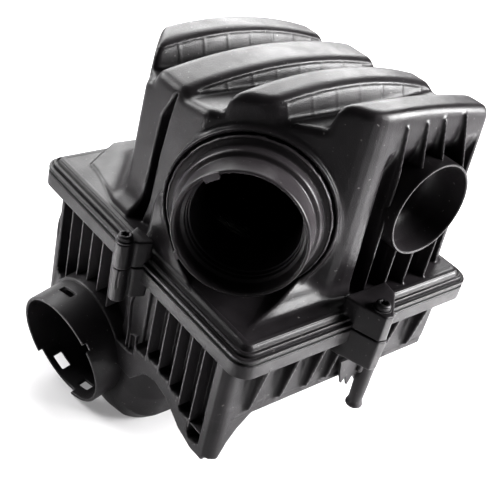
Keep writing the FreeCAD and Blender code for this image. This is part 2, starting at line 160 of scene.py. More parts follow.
class Field:
    """A solid held as distances on a grid, in millimetres: below zero inside."""

    def __init__(self, low, high, step):
        self.step = step
        self.axes = [np.arange(a, b + step, step, dtype=np.float32) for a, b in zip(low, high)]
        self.d = np.full([len(axis) for axis in self.axes], FAR, np.float32)

    def window(self, low, high):
        """The part of the grid between two corners, with the places of its points."""
        cut = tuple(slice(max(np.searchsorted(axis, a) - 1, 0), np.searchsorted(axis, b) + 1)
                    for axis, a, b in zip(self.axes, low, high))
        x, y, z = (axis[c] for axis, c in zip(self.axes, cut))
        return cut, (x[:, None, None], y[None, :, None], z[None, None, :])

    def sample(self, shape):
        """A shape's distances over the whole grid."""
        _, place = self.window((-FAR,) * 3, (FAR,) * 3)
        return shape(*place)

    def add(self, shape, soft=0.0, low=(-FAR,) * 3, high=(FAR,) * 3):
        cut, place = self.window(low, high)
        self.d[cut] = soft_min(self.d[cut], shape(*place), soft)

    def cut(self, shape, soft=0.0, low=(-FAR,) * 3, high=(FAR,) * 3):
        cut, place = self.window(low, high)
        self.d[cut] = -soft_min(-self.d[cut], shape(*place), soft)

    def surface(self):
        """The zero level as vertices and quads: one vertex in each cell that it crosses."""
        d = self.d
        inside = d < 0
        count = np.zeros([n - 1 for n in d.shape], np.uint8)
        corners = [(i, j, k) for i in (0, 1) for j in (0, 1) for k in (0, 1)]
        for i, j, k in corners:
            count += inside[i:d.shape[0] - 1 + i, j:d.shape[1] - 1 + j, k:d.shape[2] - 1 + k]
        cells = np.argwhere((count > 0) & (count < 8))
        value = {c: d[tuple((cells + c).T)] for c in corners}
        total, crossed = np.zeros((len(cells), 3)), np.zeros(len(cells))
        for c in corners:
            for axis in range(3):
                if c[axis]:
                    continue
                e = tuple(1 if n == axis else c[n] for n in range(3))
                a, b = value[c], value[e]
                hit = (a < 0) != (b < 0)
                t = a[hit] / (a[hit] - b[hit])
                point = np.tile(np.array(c, float), (hit.sum(), 1))
                point[:, axis] = t
                total[hit] += point
                crossed[hit] += 1
        low = np.array([axis[0] for axis in self.axes])
        vertices = (cells + total / crossed[:, None]) * self.step + low
        number = np.full(count.shape, -1, np.int32)
        number[tuple(cells.T)] = np.arange(len(cells))
        quads = []
        for axis in range(3):
            m, n = (axis + 1) % 3, (axis + 2) % 3
            a = np.take(inside, range(d.shape[axis] - 1), axis)
            b = np.take(inside, range(1, d.shape[axis]), axis)
            edge = np.argwhere(a != b)
            ring = []
            for dm, dn in ((-1, -1), (0, -1), (0, 0), (-1, 0)):
                cell = edge.copy()
                cell[:, m] += dm
                cell[:, n] += dn
                ring.append(number[tuple(cell.T)])
            quad = np.stack(ring, 1)
            leaving = a[tuple(edge.T)]
            quad[~leaving] = quad[~leaving][:, ::-1]
            quads.append(quad)
        return vertices, np.concatenate(quads)


# ------------------------------------------------------------------ meshes
def make(name, vertices, faces, body, material, replaces=(), keep=1.0, crisp=None):
    """A mesh from housing coordinates that rides on a body and stands for some CAD nodes."""
    mesh = bpy.data.meshes.new(name)
    places = np.asarray(vertices, float) * MM + np.array(ORIGIN)
    mesh.from_pydata(places.tolist(), [], np.asarray(faces).tolist()
                     if isinstance(faces, np.ndarray) else faces)
    mesh.validate()
    mesh.shade_smooth()
    piece = bpy.data.objects.new(name, mesh)
    bpy.context.scene.collection.objects.link(piece)
    if keep < 1:
        thin = piece.modifiers.new("thin", "DECIMATE")
        thin.ratio = keep
        graph = bpy.context.evaluated_depsgraph_get()
        thinned = bpy.data.meshes.new_from_object(piece.evaluated_get(graph))
        piece.modifiers.clear()
        piece.data = thinned
        thinned.name = name
    if crisp:
        piece.data.set_sharp_from_angle(angle=math.radians(crisp))
    piece.data.materials.clear()
    piece.data.materials.append(material)
    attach(piece, body)
    if replaces:
        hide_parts(*replaces)
    return piece


def lathe(profile, centre, axis, segments=192, lumps=None):
    """A closed profile of (radius, distance along the axis) points turned round an axis."""
    axis = np.array(axis, float)
    side = np.cross(axis, (0.0, 0.0, 1.0))
    if np.linalg.norm(side) < 1e-6:
        side = np.array((1.0, 0.0, 0.0))
    side /= np.linalg.norm(side)
    up = np.cross(side, axis)
    turns = np.linspace(0, 2 * math.pi, segments, endpoint=False)
    ring = np.cos(turns)[:, None] * side + np.sin(turns)[:, None] * up
    rings = []
    for i, (radius, t) in enumerate(profile):
        radii = radius + (lumps(i, turns) if lumps else 0 * turns)
        rings.append(np.array(centre) + radii[:, None] * ring + axis * t)
    faces = []
    for i in range(len(profile)):
        a, b = i * segments, (i + 1) % len(profile) * segments
        for j in range(segments):
            k = (j + 1) % segments
            faces.append((a + j, a + k, b + k, b + j))
    return np.concatenate(rings), faces


def rounded(points, radius, steps=4):
    """A closed outline with each corner replaced by a small arc."""
    result = []
    for i, here in enumerate(points):
        p = np.array(here[:2], float)
        r = here[2] if len(here) > 2 else radius
        a, b = np.array(points[i - 1][:2], float), np.array(points[(i + 1) % len(points)][:2], float)
        u, v = a - p, b - p
        lu, lv = np.linalg.norm(u), np.linalg.norm(v)
        reach = min(r, lu * 0.45, lv * 0.45)
        if reach <= 0:
            result.append(tuple(p))
            continue
        start, end = p + u / lu * reach, p + v / lv * reach
        for s in np.linspace(0, 1, steps + 1):
            result.append(tuple((1 - s) ** 2 * start + 2 * s * (1 - s) * p + s * s * end))
    return result


def rim(profile, corner, steps=10, sparse=6):
    """A profile of (inset, height) points swept round the flange's rounded outline."""
    rings = []
    for inset, height in profile:
        r = max(corner - inset, 3.2)
        corners = [(inset + r, inset + r, 180), (FLANGE_X - inset - r, inset + r, 270),
                   (FLANGE_X - inset - r, FLANGE_Y - inset - r, 0),
                   (inset + r, FLANGE_Y - inset - r, 90)]
        ring = []
        for cx, cy, start in corners:
            for angle in np.radians(np.linspace(start, start + 90, steps)):
                ring.append((cx + r * math.cos(angle), cy + r * math.sin(angle)))
        full = []
        for i, (x, y) in enumerate(ring):
            full.append((x, y, height))
            if i % steps == steps - 1:
                nx, ny = ring[(i + 1) % len(ring)]
                for s in np.linspace(0, 1, sparse + 2)[1:-1]:
                    full.append((x + (nx - x) * s, y + (ny - y) * s, height))
        rings.append(full)
    n, count = len(rings[0]), len(profile)
    faces = [(i * n + j, i * n + (j + 1) % n, (i + 1) % count * n + (j + 1) % n,
              (i + 1) % count * n + j) for i in range(count) for j in range(n)]
    return np.array([p for ring in rings for p in ring]), faces


def ribbon(points, width):
    """The two sides of a line of some width: the left one out and the right one back."""
    left, right = [], []
    for i, here in enumerate(points):
        a, b = points[max(i - 1, 0)], points[min(i + 1, len(points) - 1)]
        length = math.hypot(b[0] - a[0], b[1] - a[1])
        nx, ny = (a[1] - b[1]) / length * width / 2, (b[0] - a[0]) / length * width / 2
        left.append((here[0] + nx, here[1] + ny))
        right.append((here[0] - nx, here[1] - ny))
    return left + right[::-1]


def strip(points, width, axis, deep, face, bevel=0.35):
    """A thin rib along a line, standing from a depth to a face along an axis."""
    inward = bevel if deep > face else -bevel
    vertices, count = [], 2 * len(points)
    for wide, level in ((width, deep), (width, face + inward), (width - 2 * bevel, face)):
        for u, v in ribbon(points, wide):
            vertices.append({"x": (level, u, v), "y": (u, level, v), "z": (u, v, level)}[axis])
    faces = []
    for ring in (0, 1):
        for i in range(count):
            j = (i + 1) % count
            faces.append((ring * count + i, ring * count + j, (ring + 1) * count + j,
                          (ring + 1) * count + i))
    for ring in (0, 2):
        for i in range(len(points) - 1):
            a, b = ring * count + i, ring * count + count - 1 - i
            faces.append((a, a + 1, b - 1, b))
    return vertices, faces


def joined(parts):
    """Several meshes as one list of vertices and one of faces."""
    vertices, faces = [], []
    for more, round_them in parts:
        start = len(vertices)
        vertices.extend(map(tuple, more))
        faces.extend(tuple(start + i for i in face) for face in round_them)
    return vertices, faces


def sector(centre, axis, radii, levels, turns, steps=5):
    """A short piece of ring between two radii, two levels and two turns in degrees."""
    axis = np.array(axis, float)
    side = np.cross(axis, (0.0, 0.0, 1.0))
    side /= np.linalg.norm(side)
    up = np.cross(side, axis)
    vertices, faces = [], []
    for turn in np.radians(np.linspace(*turns, steps)):
        spoke = math.cos(turn) * side + math.sin(turn) * up
        for r, t in ((radii[0], levels[0]), (radii[1], levels[0]), (radii[1], levels[1]),
                     (radii[0], levels[1])):
            vertices.append(np.array(centre) + r * spoke + t * axis)
    for i in range(steps - 1):
        for j in range(4):
            a, b = 4 * i + j, 4 * i + (j + 1) % 4
            faces.append((a, b, b + 4, a + 4))
    last = 4 * (steps - 1)
    return vertices, faces + [(3, 2, 1, 0), (last, last + 1, last + 2, last + 3)]


# ------------------------------------------------------------------ materials
def plastic(name, base, rough, grain=0.35, dust=0.05, edge=0.5):
    """Black moulded plastic: fine spark-eroded grain, faint mottling, dust, and sharp edges lightened
    as rubbed wear and a painted edge highlight.
    """
    material = bpy.data.materials.new(name)
    material.use_nodes = True
    nodes, links = material.node_tree.nodes, material.node_tree.links
    shader = nodes["Principled BSDF"]
    place = nodes.new("ShaderNodeTexCoord")

    def noise(scale, detail, roughness=0.5):
        n = nodes.new("ShaderNodeTexNoise")
        n.inputs["Scale"].default_value = scale
        n.inputs["Detail"].default_value = detail
        n.inputs["Roughness"].default_value = roughness
        links.new(place.outputs["Object"], n.inputs["Vector"])
        return n.outputs["Fac"]

    def spread(source, low, high, out_low, out_high):
        m = nodes.new("ShaderNodeMapRange")
        links.new(source, m.inputs["Value"])
        for key, number in (("From Min", low), ("From Max", high),
                            ("To Min", out_low), ("To Max", out_high)):
            m.inputs[key].default_value = number
        return m.outputs["Result"]

    def mixed(factor, first, second):
        m = nodes.new("ShaderNodeMix")
        m.data_type = "RGBA"
        for socket, source in ((m.inputs["Factor"], factor), (m.inputs["A"], first),
                               (m.inputs["B"], second)):
            if isinstance(source, tuple):
                socket.default_value = (*source, 1)
            elif isinstance(source, float):
                socket.default_value = source
            else:
                links.new(source, socket)
        return m.outputs["Result"]

    cloud = noise(28, 4)
    speck = noise(430, 1, 0.5)
    lighter = tuple(1.5 * c + 0.004 for c in base)
    tone = mixed(spread(cloud, 0.35, 0.65, 0.0, 1.0), base, lighter)
    geometry = nodes.new("ShaderNodeNewGeometry")
    # Sharp outer edges are lightened: partly rubbed wear, partly a painted edge highlight. The edge
    # argument sets how strong it is.
    rubbed_edge_highlight = spread(geometry.outputs["Pointiness"], 0.52, 0.60, 0.0, edge)
    tone = mixed(rubbed_edge_highlight, tone, tuple(3.2 * c + 0.02 for c in base))
    settled = nodes.new("ShaderNodeMath")
    settled.operation = "MULTIPLY"
    links.new(spread(speck, 0.735, 0.775, 0.0, 1.0), settled.inputs[0])
    settled.inputs[1].default_value = dust * 4
    tone = mixed(settled.outputs[0], tone, (0.32, 0.31, 0.30))
    links.new(tone, shader.inputs["Base Color"])
    smear = noise(60, 5, 0.6)
    links.new(spread(smear, 0.3, 0.7, rough - 0.07, rough + 0.08), shader.inputs["Roughness"])
    shader.inputs["IOR"].default_value = 1.5
    shader.inputs["Specular IOR Level"].default_value = 0.15
    fine = nodes.new("ShaderNodeBump")
    fine.inputs["Distance"].default_value = 0.0004
    fine.inputs["Strength"].default_value = grain
    links.new(noise(1100, 3, 0.55), fine.inputs["Height"])
    wavy = nodes.new("ShaderNodeBump")
    wavy.inputs["Distance"].default_value = 0.002
    wavy.inputs["Strength"].default_value = 0.10
    links.new(noise(45, 2), wavy.inputs["Height"])
    links.new(fine.outputs["Normal"], wavy.inputs["Normal"])
    links.new(wavy.outputs["Normal"], shader.inputs["Normal"])
    return material


COVER_PLASTIC = plastic("cover_plastic", (0.0062, 0.0053, 0.0060), 0.35)
CASE_PLASTIC = plastic("case_plastic", (0.0072, 0.0064, 0.0071), 0.40, edge=0.9)
OUTLET_PLASTIC = plastic("outlet_plastic", (0.0125, 0.0109, 0.0120), 0.36, grain=0.2)


def metal(name, colour, rough, scratch=0.3):
    """Plated or turned metal: fine scratches that change its tone and its gloss."""
    material = bpy.data.materials.new(name)
    material.use_nodes = True
    nodes, links = material.node_tree.nodes, material.node_tree.links
    shader = nodes["Principled BSDF"]
    place = nodes.new("ShaderNodeTexCoord")
    stretch = nodes.new("ShaderNodeMapping")
    stretch.inputs["Scale"].default_value = (1, 1, 14)
    links.new(place.outputs["Object"], stretch.inputs["Vector"])
    lines = nodes.new("ShaderNodeTexNoise")
    lines.inputs["Scale"].default_value = 320
    lines.inputs["Detail"].default_value = 5
    links.new(stretch.outputs["Vector"], lines.inputs["Vector"])
    ramp = nodes.new("ShaderNodeValToRGB")
    ramp.color_ramp.elements[0].color = (*(0.6 * c for c in colour), 1)
    ramp.color_ramp.elements[1].color = (*(min(1.3 * c, 1) for c in colour), 1)
    ramp.color_ramp.elements[0].position, ramp.color_ramp.elements[1].position = 0.35, 0.65
    links.new(lines.outputs["Fac"], ramp.inputs["Fac"])
    links.new(ramp.outputs["Color"], shader.inputs["Base Color"])
    gloss = nodes.new("ShaderNodeMapRange")
    gloss.inputs["To Min"].default_value = rough - 0.1
    gloss.inputs["To Max"].default_value = rough + 0.15
    links.new(lines.outputs["Fac"], gloss.inputs["Value"])
    links.new(gloss.outputs["Result"], shader.inputs["Roughness"])
    bump = nodes.new("ShaderNodeBump")
    bump.inputs["Strength"].default_value = scratch
    bump.inputs["Distance"].default_value = 0.0001
    links.new(lines.outputs["Fac"], bump.inputs["Height"])
    links.new(bump.outputs["Normal"], shader.inputs["Normal"])
    shader.inputs["Metallic"].default_value = 1
    return material


def fibre(name, dark, light, scale, rough):
    """Felted paper: crossed fibres in two tones, raised a little from the surface."""
    material = bpy.data.materials.new(name)
    material.use_nodes = True
    nodes, links = material.node_tree.nodes, material.node_tree.links
    shader = nodes["Principled BSDF"]
    place = nodes.new("ShaderNodeTexCoord")
    cells = nodes.new("ShaderNodeTexNoise")
    cells.inputs["Scale"].default_value = scale
    cells.inputs["Detail"].default_value = 6
    cells.inputs["Distortion"].default_value = 2.5
    links.new(place.outputs["Object"], cells.inputs["Vector"])
    ramp = nodes.new("ShaderNodeValToRGB")
    ramp.color_ramp.elements[0].color = (*dark, 1)
    ramp.color_ramp.elements[1].color = (*light, 1)
    ramp.color_ramp.elements[0].position, ramp.color_ramp.elements[1].position = 0.35, 0.65
    links.new(cells.outputs["Fac"], ramp.inputs["Fac"])
    links.new(ramp.outputs["Color"], shader.inputs["Base Color"])
    shader.inputs["Roughness"].default_value = rough
    bump = nodes.new("ShaderNodeBump")
    bump.inputs["Strength"].default_value = 0.5
    bump.inputs["Distance"].default_value = 0.0003
    links.new(cells.outputs["Fac"], bump.inputs["Height"])
    links.new(bump.outputs["Normal"], shader.inputs["Normal"])
    return material


BLACK_ZINC = metal("black_zinc", (0.028, 0.027, 0.028), 0.48)
STEEL = metal("steel", (0.42, 0.42, 0.43), 0.32)
SCREEN = metal("screen", (0.06, 0.06, 0.062), 0.5)
BRASS = metal("brass", (0.55, 0.40, 0.18), 0.34)
RUBBER = plastic("rubber", (0.012, 0.012, 0.012), 0.6, grain=0.5)
FILTER_RUBBER = plastic("filter_rubber", (0.035, 0.034, 0.034), 0.62, grain=0.5)
PAPER = fibre("filter_paper", (0.030, 0.028, 0.024), (0.070, 0.066, 0.058), 700, 0.9)


# ------------------------------------------------------------------ upper cover
RIDGES = [  # near y, far y, and the height at x = 32, at x = 125 and at x = 197
    (24, 49, 142.2, 143.8, 135.2),
    (76, 100, 131, 139.8, 127),
    (133, 166, 117.5, 127.3, 119),
    (189, 216, 117.5, 126, 112.5),
]
PLAN = [(84.7, 31.9), (88.5, 28.2), (93.1, 25.3), (98.1, 23.6), (103.4, 23), (205, 23), (205, 216),
        (62, 216), (24.5, 174), (24, 107)]
SHOULDER_PLAN = [(100, 20), (36, 24), (24, 37), (24, 116), (104, 116)]
BAYS = [(107, 116.6), (118, 135.5), (136.5, 152.5), (153.5, 173.5), (174.5, 196)]  # between fins
COVER_FINS = [(117.2, 17.5), (136, 15.2), (153, 13), (174, 12.2)]  # x, and y of the foot's edge
TOWERS = {
    "left": [(-6, 113), (6, 109), (6, 131), (-6, 125)],
    "front": [(90, 12), (93.7, 0), (100.8, -18.5), (107, -19.5), (127, -1), (130, 12)],
    "right": [(209, 146), (209, 114), (218, 116), (235, 127), (235, 134), (218, 144)],
    "rear": [(127, 242), (124, 251), (116, 268), (109, 268), (89, 251), (86, 242)],
}
SLEEVE_BORE, INSERT_BORE = 4.7, 4.3  # radii


def flange_outline(inset):
    """The flange's rectangle, moved inwards."""
    return [(inset, inset), (FLANGE_X - inset, inset), (FLANGE_X - inset, FLANGE_Y - inset),
            (inset, FLANGE_Y - inset)]


def crown(x, front, middle, rear):
    """A smooth top line through three heights."""
    a, b, c = 32.0, 125.0, 197.0
    return (front * (x - b) * (x - c) / ((a - b) * (a - c))
            + middle * (x - a) * (x - c) / ((b - a) * (b - c))
            + rear * (x - a) * (x - b) / ((c - a) * (c - b)))


def step(a, b, value):
    """Rises smoothly from 0 at a to 1 at b."""
    t = np.clip((value - a) / (b - a), 0, 1)
    return t * t * (3 - 2 * t)


def panel(x, z, height):
    """The sunk panel with faint upright ribs in each ridge's near wall."""
    below = height - z
    inside = step(3.0, 4.2, below) * step(35, 41, x) * step(199, 196, x)
    rib = np.abs((x - 40) % 21 - 10.5)
    return inside * (1 - 0.3 * step(8.9, 10.3, rib))


def outer_dome(x, y, z):
    """The dome with its four ridges. All but the nearest have a panel in their near wall."""
    plan = polygon(drawn_in(PLAN, 9), x, y) - 9 + 0.028 * (z - 50)
    top = z - (134.3 - 0.164 * y)
    for near, far, front, centre, rear in RIDGES:
        height = crown(x, front, centre, rear)
        half, mid = (far - near) / 2, (far + near) / 2
        lean = np.where(y < mid, 0.42, 0.16)
        side = (np.abs(y - mid) - half - lean * (height - z) + 3 * (lean - 0.16)) / 1.03
        if (near, far) != RIDGES[0][:2]:
            side = side + 1.2 * panel(x, z, height) * (y < mid)
        top = soft_min(top, soft_max(z - height, side, 7), 4)
    return soft_max(plan, top, 7)


def outward(x, y, z):
    """The distance in front of the slanting face."""
    return ((x - OUTLET[0]) * OUTLET_AXIS[0] + (y - OUTLET[1]) * OUTLET_AXIS[1]
            + (z - OUTLET[2]) * OUTLET_AXIS[2])


def outer_shoulder(x, y, z):
    """The concave flare under the outlet, which spreads to the flange's front corner."""
    plan = polygon(drawn_in(SHOULDER_PLAN, 7), x, y) - 7 + 0.05 * (z - 9)
    reach = np.clip(outward(x, y, z) / 46, 0, 1)
    slope = z - (14 + 36 * (1 - reach) ** 1.9)
    flank = ((22 - y) + 1.05 * (z - 9)) / 1.45
    wall = soft_min(32 - y + 0.15 * (z - 17), z - 16.5, 6)
    flank = soft_max(flank, wall, 3)
    return soft_max(soft_max(plan, flank, 1.5), slope / (1 + 0.9 * (1 - reach)), 7)


def cover_field():
    """The cover: a hollow dome on the flange, with fins, bolt towers and three openings."""
    field = Field((-22, -24, -3), (240, 273, 151), GRID)
    field.add(outer_dome)
    field.add(outer_shoulder, 8, (0, 0, -3), (130, 130, 80))
    foot = [(120, 236), (60, 240), (31, 221), (30.5, 213), (22, 174), (22, 160), (60, 150)]
    field.add(prism("z", foot[::-1], 4, 11, 3, 1.5), 22, (0, 130, -3), (150, 273, 70))
    groove = [(139, 114), (150.5, 90), (152, 64), (154.5, 6), (146.5, 6), (145, 64), (142.5, 90)]
    field.cut(prism("x", groove[::-1], 0, 40, 0.5, 0.5), 2.0, (10, 125, 0), (50, 165, 120))
    for left, right in BAYS:
        def scoop(x, y, z, left=left, right=right):
            depth = 21 + 11 * step(133, 92, z)
            bay = np.maximum(left - x, x - right)
            return soft_max(soft_max(bay, y - depth, 4), z - 133, 3)
        field.cut(scoop, 1, (85, 0, 9), (205, 45, 140))
    hollow = field.d + WALL
    seat = rod(OUTLET, OUTLET_AXIS, 59, -4 - WALL, 60)
    hollow = np.maximum(hollow, -field.sample(seat))
    field.add(prism("z", flange_outline(7.6), 5.2, 9.1, 5, 1.0), 1.6)
    for x, out in COVER_FINS:
        fin = prism("x", [(out, 8), (36, 8), (36, 134), (24, 134), (out + 1.5, 101)],
                    x - 0.9, x + 0.9, 0.8, 0.7)
        field.add(fin, 2.5, (x - 8, 5, 3), (x + 8, 45, 142))
    for tower in TOWERS.values():
        field.add(prism("z", tower, -0.4, 20, 1.8, 0.5, draft=0.01), 3)
    for x, y in SCREWS.values():
        bore = rod((x, y, 0), UP, SLEEVE_BORE, -5, 26)
        field.cut(bore, 0, (x - 9, y - 9, -3), (x + 9, y + 9, 26))
    field.add(rod(OUTLET, OUTLET_AXIS, 58, -6, 2, 0.8), 4, (0, 0, 9.5), (120, 140, 130))
    field.cut(rod(OUTLET, OUTLET_AXIS, 55.7, -4, 60, 0.3), 0.8, (-20, 0, 9.5), (120, 140, 130))
    field.cut(rod(OUTLET, OUTLET_AXIS, 48, -30, 60), 0.5, (-20, 0, 9.5), (120, 140, 130))
    field.cut(rod(DUCT, DUCT_AXIS, 33.5, -10, 60), 0, (110, 0, 30), (190, 90, 115))
    field.d = np.maximum(field.d, -hollow)
    field.cut(prism("z", flange_outline(17), -9, 6.5, 4, 1.0), 1.0)
    boss = rod((*SCREWS["left"], 0), UP, 6.1, -0.4, 20, 0.5)
    field.add(boss, 3, (-22, 105, -3), (10, 135, 30))
    bore = rod((*SCREWS["left"], 0), UP, SLEEVE_BORE, -5, 26)
    field.cut(bore, 0, (-22, 108, -3), (-2, 130, 26))
    return field


vertices, quads = cover_field().surface()
make("cover_shell", vertices, quads, "cover", COVER_PLASTIC,
     ("upper_cover", "cover_ribs"), keep=0.45)

EDGE = rounded([(0.0, 0.7, 0.6), (0.0, 3.2, 0.8), (2.0, 3.4, 0.5), (2.2, 2.6, 0.3), (3.0, 2.6, 0.3),
                (3.2, 5.9, 0.7), (4.9, 6.1, 0.5), (5.1, 5.2, 0.3), (5.9, 5.2, 0.3),
                (7.2, 7.6, 1.0), (9.4, 9.45, 1.2), (12.0, 9.1, 0.6), (14.0, 6.6, 0.5),
                (14.0, 0.7, 0.5)], 0.5)
vertices, faces = rim(EDGE, FLANGE_CORNER)
make("cover_edge", vertices, faces, "cover", COVER_PLASTIC)


# ------------------------------------------------------------------ lower case
PANEL = [(20, -10), (20, -95.5), (30, -96), (46, -91), (56, -84), (65, -79), (79, -76),
         (90, -79), (96, -83), (108, -97), (219, -97), (219, -10)]
WELL = [(108, -50), (108, -120), (112, -138), (122, -149), (138, WELL_FLOOR), (220, WELL_FLOOR),
        (236, -140), (236, -50)]
WELL_ROOM = [(111, -40), (111, -123), (116, -140), (125, -148), (139, -151.4), (224, -151.4),
             (236, -141), (236, -40)]
LEG = [(2, -50), (2, -95), (11, -95), (16, -82), (22, -72), (32, -61), (46, -50)]
INLET_ROOT = 46.5  # the radius where the spout meets the case
POCKETS = [  # y from, y to, bottom
    (24.3, 37, -92), (37, 50.6, -79.5), (50.6, 63.6, -71), (63.6, 78, -68), (78, 92.7, -66),
    (92.7, 108, -70), (108, 134, -80), (134, 148, -79), (148, 162, -80), (162, 176, -80),
    (176, 190, -80), (190, 204.5, -80), (204.5, 217.6, -80)]


def pockets(x, y, z):
    """The deep slots side by side in the left wall, each with a rounded foot."""
    slots = None
    for low, high, foot in POCKETS:
        quarter = (high - low) / 4
        outline = [(low - 0.1, -13), (low - 0.1, foot + 4), (low + quarter, foot + 0.8),
                   (high - quarter, foot + 0.8), (high + 0.1, foot + 4), (high + 0.1, -13)]
        slot = polygon(outline, y, z)
        slots = slot if slots is None else np.minimum(slots, slot)
    shallow = np.maximum(np.maximum(109 - y, y - 133.5), 9.5 - x)
    tube = rod(INLET, INLET_AXIS, INLET_ROOT, -80, 0)
    return np.maximum(np.maximum(slots, x - 13.5), np.maximum(-shallow, -tube(x, y, z)))


def case_field():
    """The case: walls under the flange, the well, the front leg, the slots and the fins."""
    field = Field((-23, -24, -157), (240, 273, 1), GRID)
    walls = [(9.5, 12.5), (207.5, 12.5), (207.5, 238.5), (27, 238.5), (9.5, 220)]
    field.add(prism("z", walls, -58, -1.6, 9, 2, draft=-0.015))
    skirt = [(14, 11), (199, 11), (199, 16), (14, 16)]
    field.add(prism("z", skirt, -60.5, -57.5, 2, 0.8), 3, (0, 0, -70), (216, 30, -50))
    post = [(2, 11.6), (34, 11.6), (34, 44), (2, 44)]
    field.add(prism("z", post, -60, -9, 9, 0.8), 0.5, (0, 0, -70), (60, 60, 0))
    field.add(prism("x", WELL[::-1], 6, 196, 6, 26), 6)
    field.add(prism("x", PANEL[::-1], 2, 16, 1.2, 0.7), 0.5)
    leg = prism("y", LEG, 10.6, 27, 2, 1.0)
    corner = prism("z", [(2.3, 11.4), (70, 11.4), (70, 60), (2.3, 60)], -100, -30, 9)
    field.add(lambda x, y, z: np.maximum(leg(x, y, z), corner(x, y, z)), 0.4,
              (-1, 5, -98), (55, 40, -40))
    root = rod(INLET, INLET_AXIS, INLET_ROOT, -75, -28, 4)
    field.add(root, 9, (-30, 100, -157), (70, 230, -50))
    field.cut(block((-40, 80, -200), (260, 300, WELL_FLOOR)), 2)
    hollow = field.d + WALL
    upper_room = field.sample(block((17, 17, -54), (201, 232, 30), 6))
    well_room = field.sample(prism("x", WELL_ROOM[::-1], 17, 193, 3, 3))
    inner = np.maximum(np.minimum(upper_room, well_room), hollow)
    field.cut(pockets, 0.4, (-1, 20, -96), (12, 222, -9))
    for x, out in ((25, 1.8), (52, 2.2), (76, 2.6), (95, 3.4), (148, 2.6), (178, 2.6)):
        front = [(out, -11), (14, -11), (14, -53), (9.6, -51), (8.6, -47)]
        fin = prism("x", front, x - 1, x + 1, 1, 0.6)
        field.add(fin, 4, (x - 10, -1, -58), (x + 10, 20, -9))
    for y in (25, 50, 75, 100, 160, 185, 210):
        fin = prism("y", [(202, -11), (216, -11), (210.5, -50), (202, -50)], y - 1, y + 1, 1, 0.6)
        field.add(fin, 3, (196, y - 8, -58), (220, y + 8, -9))
    for x in (28, 52, 76, 140, 165, 190):
        fin = prism("x", [(236, -11), (236, -50), (243.5, -50), (249, -11)], x - 1, x + 1, 1, 0.6)
        field.add(fin, 3, (x - 8, 232, -58), (x + 8, 252, -9))
    for tower in TOWERS.values():
        field.add(prism("z", tower, -26, -0.8, 1.8, 0.5, draft=-0.03), 2)
    boss = rod((*SCREWS["left"], 0), UP, 5.6, -28, -0.8, 0.5)
    field.add(boss, 2, (-23, 105, -32), (8, 135, 1))
    field.add(block((124, 3, -57), (142, 13, -46), 2), 5, (110, -2, -66), (156, 24, -40))
    field.d = np.maximum(field.d, -inner)
    field.cut(rod(INLET, INLET_AXIS, 42.6, -60, 10), 0.5, (-30, 100, -157), (60, 230, -50))
    field.cut(block((5.4, 5.4, -6.3), (211.6, 244.6, 9), 0.3))
    for x, y in SCREWS.values():
        bore = rod((x, y, 0), UP, INSERT_BORE, -15, 9)
        field.cut(bore, 0, (x - 9, y - 9, -18), (x + 9, y + 9, 1))
    return field


vertices, quads = case_field().surface()
make("case_shell", vertices, quads, "case", CASE_PLASTIC,
     ("lower_case", "front_gussets", "rear_gussets", "right_gussets"), keep=0.45)

BAND = rounded([(4.6, -2.0, 0.4), (3.8, -2.7, 0.2), (1.4, -2.7, 0.2), (0.6, -1.3, 0.5),
                (0.0, -2.2, 0.4), (0.0, -12.0, 0.6), (0.8, -12.6, 0.4), (10.6, -12.2, 0.3),
                (10.6, -6.4, 0.5), (5.2, -6.4, 0.3)], 0.4)
vertices, faces = rim(BAND, FLANGE_CORNER)
make("case_edge", vertices, faces, "case", CASE_PLASTIC)

# The fins between the slots, all but the two beside the left tower, and a few thin raised lines.
BOW = [(110.5, -8.5), (117, -20), (120.5, -28), (123.5, -41.6), (122.4, -53), (121, -66)]
fins = [strip([(y, -12.4), (y, max(foot, next_foot) - 4)], 1.5, "x", 11, 1.9)
        for (_, y, foot), (_, _, next_foot) in zip(POCKETS, POCKETS[1:]) if y not in (108, 134)]
for line, width, deep, face in (
        ([(24.3, -79), (37, -79)], 1.3, 11, 2.4),
        (BOW, 1.0, 7, 4.4),
        ([(121, -66), (120.5, -94)], 1.0, 7, 4.4),
        ([(110.4, -82), (110.8, -63), (117.4, -66), (117, -82)], 1.0, 7, 4.6),
        ([(132, -81), (110.3, -83)], 1.0, 7, 4.6)):
    fins.append(strip(line, width, "x", deep, face))
vertices, faces = joined(fins)
make("case_fins", vertices, faces, "case", CASE_PLASTIC, crisp=30)


# ------------------------------------------------------------------ inlet spout
INLET_CUTS = [  # turn round the spout, from and to along it, width
    (103, -20, -15, 15), (243, -16, -8.5, 13), (285, -16, -9.5, 12),
    (251, -3.6, 5, 43), (42, -3, 5, 6)]


def inlet_field():
    """The spout about its own axis: its mouth is at zero and its root at -34."""
    field = Field((-47, -47, -38), (47, 47, 3), GRID * 0.7)
    field.add(rod((0, 0, 0), UP, 45, -36, 0, 0.7))
    field.cut(rod((0, 0, 0), UP, 42.4, -60, 9))
    for turn, low, high, width in INLET_CUTS:
        a = math.radians(turn)
        c, s = math.cos(a), math.sin(a)

        def window(x, y, z, c=c, s=s, low=low, high=high, width=width):
            along, across = x * c + y * s, y * c - x * s
            box = np.maximum(np.abs(across) - width / 2, np.maximum(low - z, z - high))
            return np.maximum(box, 30 - along)
        field.cut(window, 0.4)
    return field


vertices, quads = inlet_field().surface()
across = np.cross((0.0, 0.0, 1.0), INLET_AXIS)
across /= np.linalg.norm(across)
above = np.cross(INLET_AXIS, across)
vertices = INLET + vertices @ np.array((across, above, INLET_AXIS))
make("inlet_spout", vertices, quads, "case", CASE_PLASTIC, ("inlet_tube",), keep=0.5)


